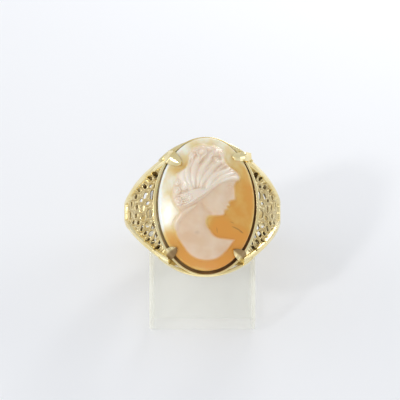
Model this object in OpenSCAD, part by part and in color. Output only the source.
// Cameo ring: an oval carved shell cameo in a yellow gold ring with four claws and pierced
// shoulders, slipped over the tongue of a clear bent display stand.
// Millimetres, Z up, X across the ring, the cameo facing the front, which is -Y.
// The origin is the middle of the stand's foot, on the surface it stands on.

/* [Cameo] */
// Width of the oval cameo
cameo_w = 13; // [12:0.5:14]
// Length of the oval cameo
cameo_l = 18; // [17:0.5:19]
// Height of the cameo's upright edge
cameo_edge = 1.2; // [0.8:0.1:1.6]
// Rise of the domed ground from the edge to the middle
cameo_dome = 1.5; // [1:0.1:1.8]
// Height of the carved bust above the domed ground
relief_h = 0.7; // [0.4:0.05:0.9]
// How far the carved head bows towards its bust
head_bow = 12; // [8:1:14]

/* [Setting] */
// Clearance all round between the cameo and its frame
cameo_gap = 0.25; // [0.15:0.05:0.35]
// Width of the frame's rails at the oval's two sides
rail_w = 0.5; // [0.4:0.05:0.7]
// Width of the frame's rails at the oval's two ends
rail_end_w = 0.3; // [0.25:0.05:0.5]
// How far the frame sits lower than the middle of the cameo
frame_shift = 0.1; // [0:0.02:0.12]
// Height of each of the frame's two rails
rail_h = 0.35; // [0.25:0.05:0.45]
// Height of the groove between the frame's two rails
groove_h = 0.4; // [0.3:0.05:0.6]
// Depth of that groove
groove_d = 0.15; // [0.1:0.05:0.2]
// Width of the two arched rails that join the shoulders round the frame's ends
arch_w = 0.45; // [0.35:0.05:0.7]
// Reach of the ledge in under the cameo
ledge_w = 0.8; // [0.5:0.1:1.2]
// Clearance between the cameo's back and its ledge
seat_gap = 0.05; // [0.03:0.01:0.08]

/* [Claws] */
// Position of a claw round the oval, from its side towards its end
claw_turn = 45; // [40:1:50]
// Width of a claw where it bends over the edge
claw_w = 1.7; // [1.4:0.1:1.9]
// Thickness of a claw's stem
claw_t = 0.8; // [0.6:0.1:1]
// Height of a claw's shoulder where it bends over the cameo's edge
claw_top = 0.5; // [0.4:0.05:0.7]
// Reach of a claw's tip in over the cameo
claw_reach = 1.1; // [0.8:0.1:1.4]
// Width of a claw's tip
claw_tip_w = 0.25; // [0.2:0.05:0.4]
// Height of a claw's tip
claw_tip_h = 0.35; // [0.25:0.05:0.45]
// Clearance between a claw and the cameo
claw_gap = 0.06; // [0.04:0.01:0.1]

/* [Band] */
// Inside diameter, for the finger
finger_d = 17.6; // [17.2:0.2:18.4]
// Half of the ring's greatest width
side_r = 10.55; // [10.3:0.05:10.8]
// Distance from the finger's axis to the underside of the shank
back_r = 10.2; // [10:0.05:10.5]
// Radius of the curve that a shoulder rises in
shoulder_r = 12; // [11.5:0.25:13]
// Width of the plain shank at the back
shank_w = 2.6; // [2.2:0.1:3.2]
// Width of the band at its two sides
side_w = 3.8; // [3.4:0.1:4.4]
// Width of the band where the shoulders meet the frame's top rail
shoulder_w = 14.9; // [14.4:0.1:15.4]
// How much further the shoulders reach down than up
shoulder_shift = 0.65; // [0.4:0.05:0.8]

/* [Pierced shoulders] */
// Width of the shoulder's plain upper border
upper_border = 1.1; // [0.8:0.1:1.3]
// Width of the shoulder's plain lower border
lower_border = 0.8; // [0.7:0.1:1]
// Depth of the pierced sheet below its borders
sheet_drop = 0.3; // [0.2:0.05:0.5]
// Height above the finger's axis where the sunk field starts
field_start = 1.6; // [1:0.1:2.2]
// Slope of the direction that the gaps are pierced in
pierce_slope = 25; // [20:1:30]
// Width of a gap that is charted as one
gap_w = 1; // [0.8:0.05:1.15]

/* [Stand] */
// Width of the clear strip
strip_w = 14.4; // [14:0.1:14.8]
// Thickness of the clear strip
strip_t = 1.5; // [1.2:0.1:1.7]
// Slope of the tongue that holds the ring
tongue_slope = 36; // [33:1:38]
// How far the ring is turned round the finger's axis on its tongue
ring_turn = 3; // [0:1:5]
// Radius of the front's long bend
front_r = 12; // [11.5:0.25:14]
// Outer radius of the short bend at the foot
foot_r = 2; // [1.8:0.1:2.5]
// Clearance between the foot and the ring's shank above it
shank_gap = 0.6; // [0.3:0.1:1.5]
// Length of the tongue above the ring's middle
tongue_high = 6.5; // [5:0.1:7]
// Radius of the tongue's two top corners
tongue_corner = 5; // [4:0.25:6]
// Length of the foot
foot_l = 22; // [21:0.5:26]
// Clearance between the tongue's edges and the inside of the band
tongue_gap = 0.05; // [0.03:0.01:0.1]

/* [Hidden] */
$fn = 96;
// Overlap of shapes that are one piece, and a length well beyond the ring for cuts
eps = 0.01;
span = 40;

gold = [0.86, 0.74, 0.48];
shell = [0.86, 0.68, 0.50];
clear = [0.80, 0.86, 0.84, 0.5];

// Heights above the finger's axis, along the direction that the cameo faces
finger_r = finger_d / 2;
ledge_top = finger_r + rail_h;
frame_top = ledge_top + groove_h + rail_h;
cameo_back = ledge_top + seat_gap;
girdle_top = cameo_back + cameo_edge;

// Half sizes of the frame's openings and outlines, across and along
cameo_half = [cameo_w, cameo_l] / 2;
inner_half = cameo_half + [cameo_gap, cameo_gap];
outer_half = inner_half + [rail_w, rail_end_w];

// Place of the ring on its stand: the tongue's front edges lie inside the band, and the tongue is
// long enough for the shank to clear the foot
tongue_front = sqrt(pow(finger_r - tongue_gap, 2) - pow(strip_w / 2, 2));
bend_angle = 90 - tongue_slope;
bend_end = [front_r * (1 - cos(bend_angle)), foot_r + front_r * sin(bend_angle)];
along = [cos(tongue_slope), sin(tongue_slope)];
out = [-sin(tongue_slope), cos(tongue_slope)];
ring_height = strip_t + shank_gap + back_r * out.y + shank_w / 2 * along.y;
tongue_low = (ring_height + tongue_front * out.y - bend_end.y) / along.y;
ring_mid = bend_end + tongue_low * along - tongue_front * out;

// Length of a shoulder's sheet laid flat, from the ring's side up to the top of the frame
sheet_run = shoulder_r * asin(frame_top / shoulder_r) * PI / 180;

// Band outline seen from the side: height as a share of the radius there, and half of the width
// as a share of the step from the width at the sides to the width at the shank or the frame
shank_rows = [[1, 1], [0.7, 0.95], [0.35, 0.75], [0, 0]];
flare_rows = [[0.3, 0.16], [0.58, 0.43], [0.83, 0.73], [1, 1], [1.2, 1.2]];

// Gaps of one shoulder, charted on the sheet laid flat. Each gap runs from one end to the other:
// [along, across, along, across, bow, width at start, middle and end]. Along is the distance from
// the ring's side as a share of the sheet's length, across is up towards the top of the cameo as
// a share of half of the shoulder's width, and the bow and widths are shares of a gap's width
gaps = [
    [0.88, 0.62, 0.78, 0.47, 0, 0.15, 0.6, 0.95],
    [0.75, 0.35, 0.70, 0.30, 0, 0.25, 0.35, 0.25],
    [0.61, 0.36, 0.58, 0.22, 0.05, 1.0, 0.6, 0.2],
    [0.54, 0.33, 0.52, 0.26, 0, 0.2, 0.3, 0.2],
    [0.46, 0.28, 0.45, 0.21, 0, 0.15, 0.4, 0.7],
    [0.81, 0.25, 0.78, 0.13, -0.1, 0.2, 0.4, 0.3],
    [0.75, 0.24, 0.71, 0.09, 0.1, 0.5, 0.95, 0.8],
    [0.61, 0.16, 0.57, 0.09, 0.1, 0.25, 0.5, 0.45],
    [0.70, -0.03, 0.70, -0.07, 0, 0.7, 0.75, 0.7],
    [0.55, 0.04, 0.56, -0.17, 0, 0.3, 0.4, 0.3],
    [0.46, -0.01, 0.47, -0.13, 0, 0.6, 0.9, 0.6],
    [0.38, -0.08, 0.39, -0.12, 0, 0.4, 0.45, 0.4],
    [0.36, 0.14, 0.27, -0.01, 0.1, 0.3, 0.6, 0.4],
    [0.80, -0.15, 0.82, -0.28, -0.12, 0.25, 0.38, 0.25],
    [0.73, -0.16, 0.74, -0.32, 0.1, 0.7, 1.1, 1.0],
    [0.62, -0.22, 0.60, -0.28, 0.05, 0.5, 0.65, 0.5],
    [0.60, -0.34, 0.62, -0.39, 0, 0.4, 0.45, 0.35],
    [0.46, -0.25, 0.46, -0.30, 0, 0.5, 0.55, 0.5],
    [0.37, -0.20, 0.35, -0.28, 0, 0.35, 0.5, 0.5],
    [0.75, -0.42, 0.74, -0.45, 0, 0.75, 0.8, 0.75],
    [0.62, -0.44, 0.62, -0.53, 0, 0.3, 0.35, 0.25],
    [0.55, -0.41, 0.54, -0.47, 0, 0.3, 0.35, 0.3],
    [0.50, -0.37, 0.48, -0.42, 0, 0.35, 0.4, 0.3],
    [0.82, -0.49, 0.79, -0.53, 0, 0.2, 0.3, 0.25],
    [0.85, -0.54, 0.87, -0.66, -0.08, 0.25, 0.35, 0.25],
    [0.80, -0.58, 0.84, -0.67, 0.1, 0.8, 1.0, 0.7],
];
// Rounding of a gap's two ends, as a share of the gap's width there
gap_end = 0.35;

// Outlines of the carving in shares of the cameo's half width and half length. The profile is a
// plain classical one, from the forehead down and round the cut of the bust to the nape, and the
// back runs from the nape up round the hair and its wreath to the forehead
profile = [
    [0.62, 0.42], [0.61, 0.38], [0.595, 0.335], [0.63, 0.25], [0.67, 0.15],
    [0.54, 0.115], [0.55, 0.065], [0.51, 0.032], [0.525, 0], [0.485, -0.035], [0.505, -0.095],
    [0.44, -0.145], [0.32, -0.17], [0.15, -0.18], [0.09, -0.28], [0.08, -0.40], [0.16, -0.475],
    [0.35, -0.51], [0.62, -0.515], [0.53, -0.60], [0.41, -0.75], [0.15, -0.86], [-0.05, -0.875],
    [-0.24, -0.84], [-0.40, -0.76], [-0.51, -0.65], [-0.66, -0.50], [-0.685, -0.41], [-0.58, -0.32],
];
hair_back = [
    [-0.42, -0.20], [-0.58, -0.11], [-0.69, 0.02], [-0.71, 0.18], [-0.68, 0.32], [-0.62, 0.43],
    [-0.52, 0.51], [-0.50, 0.62], [-0.49, 0.73], [-0.44, 0.81], [-0.34, 0.86], [-0.16, 0.89],
    [0.04, 0.885], [0.20, 0.85], [0.28, 0.78], [0.32, 0.69], [0.43, 0.63], [0.54, 0.60],
    [0.62, 0.56], [0.675, 0.50], [0.665, 0.45],
];
// Edge of the hair against the face and neck, from the forehead down to the nape
hair_front = [
    [0.62, 0.42], [0.50, 0.415], [0.34, 0.36], [0.18, 0.25], [0.05, 0.12], [-0.08, 0.01],
    [-0.20, -0.07], [-0.30, -0.12],
];
// Rounded forms of the carving, in the same shares: [across, along, half width, half length,
// rise as a share of the relief]
forms = [
    [0.26, 0.20, 0.36, 0.34, 0.30], [0.30, -0.06, 0.20, 0.10, 0.15], [0.57, 0.18, 0.10, 0.12, 0.15],
    [-0.12, -0.30, 0.30, 0.28, 0.15], [-0.08, -0.62, 0.46, 0.24, 0.25],
    [-0.52, -0.02, 0.15, 0.10, 0.45], [-0.34, 0.03, 0.14, 0.10, 0.40], [-0.55, 0.15, 0.14, 0.10, 0.40],
    [-0.38, 0.20, 0.14, 0.10, 0.30], [-0.16, 0.10, 0.12, 0.09, 0.25],
    [-0.36, 0.72, 0.14, 0.10, 0.30], [-0.14, 0.78, 0.14, 0.10, 0.30], [0.08, 0.77, 0.14, 0.10, 0.30],
    [0.24, 0.67, 0.12, 0.09, 0.30],
];
// The outlines and forms hold the head upright. It bows round this middle, in the same shares,
// fully above the second of these heights and not at all below the first
bow_middle = [0, 0.3];
bow_heights = [-0.42, -0.08];
// Rises of the plain flesh and of the hair above it, as shares of the relief
flesh_rise = 0.55;
hair_rise = 0.2;
// Waves of the hair: how many across it, the middle they bend round, and their rise
hair_waves = 4;
wave_middle = [0.3, 0.2];
wave_rise = 0.1;
// Width of the carving's rounded edge, as a share of the relief
edge_width = 1.1;
// Mesh of the carved face of the cameo: rings from the middle, and points round each ring
carve_rings = 30;
carve_points = 112;
// Points round each oval of the frame
oval_points = 72;

function ellipse_at(half, a) = [half.x * cos(a), half.y * sin(a)];

module oval(half, shift = 0) {
    polygon([for (i = [0 : oval_points - 1])
        ellipse_at(half, i * 360 / oval_points) - [0, shift]]);
}

// Put parts, modelled round the finger's axis with the cameo facing up, onto the tongue
module on_stand() {
    translate([0, ring_mid.x - foot_l / 2, ring_mid.y])
        rotate([tongue_slope, 0, 0]) children();
}

// The same for the ring, which sits a little turned
module ring_on_stand() {
    on_stand() rotate([0, ring_turn, 0]) children();
}

// A drawing in x and height, extruded along the finger's axis
module along_finger(length) {
    rotate([90, 0, 0]) linear_extrude(length, center = true) children();
}

module finger_hole() {
    rotate([90, 0, 0]) cylinder(h = span, r = finger_r, center = true);
}

// The band seen along the finger's axis: round below, two rising shoulders above
back_rise = (side_r * side_r - back_r * back_r) / (2 * back_r);
module band_side() {
    intersection() {
        translate([side_r - shoulder_r, 0]) circle(shoulder_r);
        translate([shoulder_r - side_r, 0]) circle(shoulder_r);
        translate([-span / 2, 0]) square([span, frame_top]);
    }
    intersection() {
        translate([0, back_rise]) circle(back_r + back_rise);
        translate([-span / 2, -span]) square([span, span]);
    }
}

function flare_w(share) = (side_w + (shoulder_w - side_w) * share) / 2;
function shank_half(share) = (side_w + (shank_w - side_w) * share) / 2;

// The band seen from its side, in height and across
module band_width(upper_cut = 0, lower_cut = 0) {
    rows = [
        for (row = shank_rows) [-back_r * row[0], shank_half(row[1]), 0],
        for (row = flare_rows) [frame_top * row[0], flare_w(row[1]), shoulder_shift * row[1]]
    ];
    last = len(rows) - 1;
    polygon([
        for (i = [0 : last]) [rows[i].x, rows[i].y - rows[i].z - upper_cut],
        for (i = [last : -1 : 0]) [rows[i].x, lower_cut - rows[i].y - rows[i].z]
    ]);
}

// One gap of the pierced sheet, as a bowed leaf with rounded ends, seen in the piercing direction
function sheet_point(along_share, across_share) = [
    shoulder_r * sin(along_share * sheet_run * 180 / (PI * shoulder_r) - pierce_slope),
    across_share * shoulder_w / 2
];
function gap_outline(g) =
    let (a = sheet_point(g[0], g[1]), b = sheet_point(g[2], g[3]),
         d = (b - a) / norm(b - a), n = [d.y, -d.x],
         middle = (a + b) / 2 + n * g[4] * gap_w,
         halves = [g[5], g[6], g[7]] * gap_w / 2,
         tip = 2 * gap_end)
    [
        a + n * halves[0], middle + n * halves[1], b + n * halves[2],
        b + (d + n) * halves[2] * tip, b + (d - n) * halves[2] * tip,
        b - n * halves[2], middle - n * halves[1], a - n * halves[0],
        a - (d + n) * halves[0] * tip, a - (d - n) * halves[0] * tip
    ];

module shoulder_gaps() {
    translate([side_r - shoulder_r, 0, 0])
        rotate([0, -90 - pierce_slope, 0])
            translate([0, 0, -shoulder_r - sheet_drop])
                linear_extrude(shoulder_r / 2)
                    for (g = gaps) polygon(gap_outline(g));
}

// The sunk field that the pierced sheet lies in, between the borders of a shoulder
module shoulder_field() {
    intersection() {
        along_finger(span) difference() {
            translate([side_r - shoulder_r, 0]) circle(shoulder_r + sheet_drop);
            translate([side_r - shoulder_r, 0]) circle(shoulder_r - sheet_drop);
        }
        rotate([0, -90, 0]) mirror([0, 0, 1]) linear_extrude(span) intersection() {
            band_width(upper_border, lower_border);
            translate([field_start, -span / 2]) square(span);
        }
    }
}

module band() {
    difference() {
        intersection() {
            along_finger(span) band_side();
            rotate([0, -90, 0]) linear_extrude(span, center = true) band_width();
        }
        for (side = [0, 1]) mirror([side, 0, 0]) {
            shoulder_field();
            shoulder_gaps();
        }
        linear_extrude(span) oval((inner_half + outer_half) / 2, frame_shift);
    }
}

module frame_ring() {
    difference() {
        oval(outer_half, frame_shift);
        oval(inner_half, frame_shift);
    }
}

// The frame: a plain wall with a rail along its top, a rail at its foot that follows the finger's
// curve, and a ledge inside for the cameo
module frame() {
    linear_extrude(frame_top) difference() {
        oval(outer_half - [groove_d, groove_d], frame_shift);
        oval(inner_half, frame_shift);
    }
    translate([0, 0, frame_top - rail_h]) linear_extrude(rail_h) frame_ring();
    intersection() {
        linear_extrude(ledge_top) frame_ring();
        rotate([90, 0, 0]) cylinder(h = span, r = ledge_top, center = true);
    }
    translate([0, 0, finger_r]) linear_extrude(rail_h) difference() {
        oval(inner_half + [eps, eps], frame_shift);
        oval(cameo_half - [ledge_w, ledge_w]);
    }
}

// The arched rails: each is an arc from one shoulder's edge past the frame's end to the other's,
// and leaves a narrow window beside the frame
module arched_rails() {
    share = lookup(ledge_top / frame_top, flare_rows);
    across = side_r - shoulder_r + sqrt(pow(shoulder_r, 2) - pow(ledge_top, 2)) - arch_w / 2;
    for (down = [0, 1]) mirror([0, down, 0]) {
        side = 2 * down - 1;
        edge = flare_w(share) + side * shoulder_shift * share - arch_w / 2;
        end = outer_half.y + side * frame_shift;
        arch_r = (across * across + pow(end - edge, 2)) / (2 * (end - edge));
        translate([0, 0, finger_r]) linear_extrude(rail_h) intersection() {
            translate([0, end - arch_r]) difference() {
                circle(arch_r);
                circle(arch_r - arch_w);
            }
            translate([-across, edge - arch_w]) square([2 * across, span]);
        }
    }
}

// A claw's stem seen from above, with a ridge down its outside and its inside facing the cameo
module claw_plan() {
    polygon([
        [claw_gap, -claw_w / 2], [claw_gap + claw_t / 2, -claw_w / 2], [claw_gap + claw_t, 0],
        [claw_gap + claw_t / 2, claw_w / 2], [claw_gap, claw_w / 2]
    ]);
}

// A claw: its stem rises outside the cameo, and its pointed end lies on the dome
module claw() {
    edge = ellipse_at(cameo_half, claw_turn);
    facing = atan2(edge.y / pow(cameo_half.y, 2), edge.x / pow(cameo_half.x, 2));
    tip = edge - claw_reach * [cos(facing), sin(facing)];
    tip_share = norm([tip.x / cameo_half.x, tip.y / cameo_half.y]);
    tip_z = girdle_top + cameo_dome * (1 - tip_share * tip_share) + claw_gap;
    bend_z = girdle_top + claw_gap;
    translate([edge.x, edge.y, 0]) rotate([0, 0, facing]) {
        translate([0, 0, finger_r]) linear_extrude(bend_z - finger_r + claw_top / 2) claw_plan();
        hull() {
            translate([0, 0, bend_z]) linear_extrude(claw_top) claw_plan();
            translate([-claw_reach, -claw_tip_w / 2, tip_z])
                cube([claw_tip_w, claw_tip_w, claw_tip_h]);
        }
    }
}

module gold_mount() {
    color(gold) ring_on_stand() difference() {
        union() {
            band();
            frame();
            arched_rails();
            for (side = [0, 1], end = [0, 1]) mirror([side, 0, 0]) mirror([0, end, 0]) claw();
        }
        finger_hole();
    }
}

// Carving of the cameo, worked out from the outline and forms above
function crossings(p, line) = [for (i = [0 : len(line) - 1])
    let (a = line[i], b = line[(i + 1) % len(line)])
    if ((a.y > p.y) != (b.y > p.y) && (p.x < a.x + (p.y - a.y) * (b.x - a.x) / (b.y - a.y))) 1];
function to_edge(p, a, b) =
    let (t = max(0, min(1, (p - a) * (b - a) / ((b - a) * (b - a)))))
    norm(p - a - (b - a) * t);
function depth_in(p, line) = len(crossings(p, line)) % 2 == 0 ? 0 :
    min([for (i = [0 : len(line) - 1]) to_edge(p, line[i], line[(i + 1) % len(line)])]);
function rounded(x) = x <= 0 ? 0 : x >= 1 ? 1 : sin(90 * x);
function form_rise(p, f) =
    let (q = pow((p.x - f[0]) / f[2], 2) + pow((p.y - f[1]) / f[3], 2))
    q >= 1 ? 0 : f[4] * (1 - q);
function total(list, i = 0) = i >= len(list) ? 0 : list[i] + total(list, i + 1);

function scaled(line) = [for (p = line) [p.x * cameo_half.x, p.y * cameo_half.y]];
bust_line = scaled(concat(profile, hair_back));
hair_line = scaled(concat(hair_front, hair_back));
edge_run = relief_h * edge_width;

// Place on the upright head that a place on the bowed one stands for
function upright(p) =
    let (middle = [bow_middle.x * cameo_half.x, bow_middle.y * cameo_half.y],
         low = bow_heights[0] * cameo_half.y, high = bow_heights[1] * cameo_half.y,
         a = head_bow * rounded((p.y - low) / (high - low)),
         d = p - middle)
    middle + [d.x * cos(a) - d.y * sin(a), d.x * sin(a) + d.y * cos(a)];

function carved(place) =
    let (p = upright(place),
         q = [p.x / cameo_half.x, p.y / cameo_half.y],
         body = rounded(depth_in(p, bust_line) / edge_run),
         locks = rounded(depth_in(p, hair_line) / edge_run),
         wave = sin(360 * hair_waves * norm(q - wave_middle)))
    body == 0 ? 0 : relief_h * body * (flesh_rise
        + total([for (f = forms) form_rise(q, f)])
        + locks * (hair_rise + wave_rise * wave));

module cameo() {
    dome = function (r) girdle_top + cameo_dome * (1 - r * r);
    face = [for (i = [1 : carve_rings], j = [0 : carve_points - 1])
        let (r = i / carve_rings, p = r * ellipse_at(cameo_half, j * 360 / carve_points))
        [p.x, p.y, dome(r) + (i < carve_rings ? carved(p) : 0)]];
    back = [for (j = [0 : carve_points - 1])
        let (p = ellipse_at(cameo_half, j * 360 / carve_points)) [p.x, p.y, cameo_back]];
    middle = [0, 0, dome(0) + carved([0, 0])];
    n = carve_points;
    rim = (carve_rings - 1) * n;
    top = len(face) + n;
    next = function (j) (j + 1) % n;
    color(shell) ring_on_stand() polyhedron(
        points = concat(face, back, [middle]),
        faces = concat(
            [for (j = [0 : n - 1]) [top, next(j), j]],
            [for (i = [0 : carve_rings - 2], j = [0 : n - 1], half = [0, 1])
                half == 0 ? [i * n + j, i * n + next(j), (i + 1) * n + next(j)]
                          : [i * n + j, (i + 1) * n + next(j), (i + 1) * n + j]],
            [for (j = [0 : n - 1], half = [0, 1])
                half == 0 ? [rim + j, rim + next(j), rim + n + next(j)]
                          : [rim + j, rim + n + next(j), rim + n + j]],
            [[for (j = [0 : n - 1]) rim + n + j]]
        ));
}

// The stand's strip in side view, with the foot's front at zero and the surface below it
module strip_side() {
    translate([foot_r, 0]) square([foot_l - foot_r, strip_t]);
    intersection() {
        translate([foot_r, foot_r]) difference() {
            circle(foot_r);
            circle(foot_r - strip_t);
        }
        square(foot_r);
    }
    intersection() {
        translate([front_r, foot_r]) difference() {
            circle(front_r);
            circle(front_r - strip_t);
        }
        translate([front_r, foot_r]) polygon([
            [0, 0], [-2 * front_r, 0], [-2 * front_r, 2 * front_r],
            2 * front_r * [-cos(bend_angle), sin(bend_angle)]
        ]);
    }
    translate(bend_end) rotate(tongue_slope) translate([0, -strip_t])
        square([tongue_low, strip_t]);
}

// The tongue's upper end, laid flat
module tongue_end() {
    reach = tongue_high - tongue_corner;
    translate([-strip_w / 2, -tongue_low / 2]) square([strip_w, tongue_low / 2 + reach]);
    intersection() {
        union() {
            translate([tongue_corner - strip_w / 2, 0])
                square([strip_w - 2 * tongue_corner, tongue_high]);
            for (side = [-1, 1]) translate([side * (strip_w / 2 - tongue_corner), reach])
                circle(tongue_corner);
        }
        translate([-strip_w / 2, 0]) square([strip_w, tongue_high]);
    }
}

module display_stand() {
    color(clear) union() {
        translate([-strip_w / 2, -foot_l / 2, 0]) rotate([90, 0, 90])
            linear_extrude(strip_w) strip_side();
        on_stand() translate([0, 0, tongue_front - strip_t])
            linear_extrude(strip_t) tongue_end();
    }
}

gold_mount();
cameo();
display_stand();
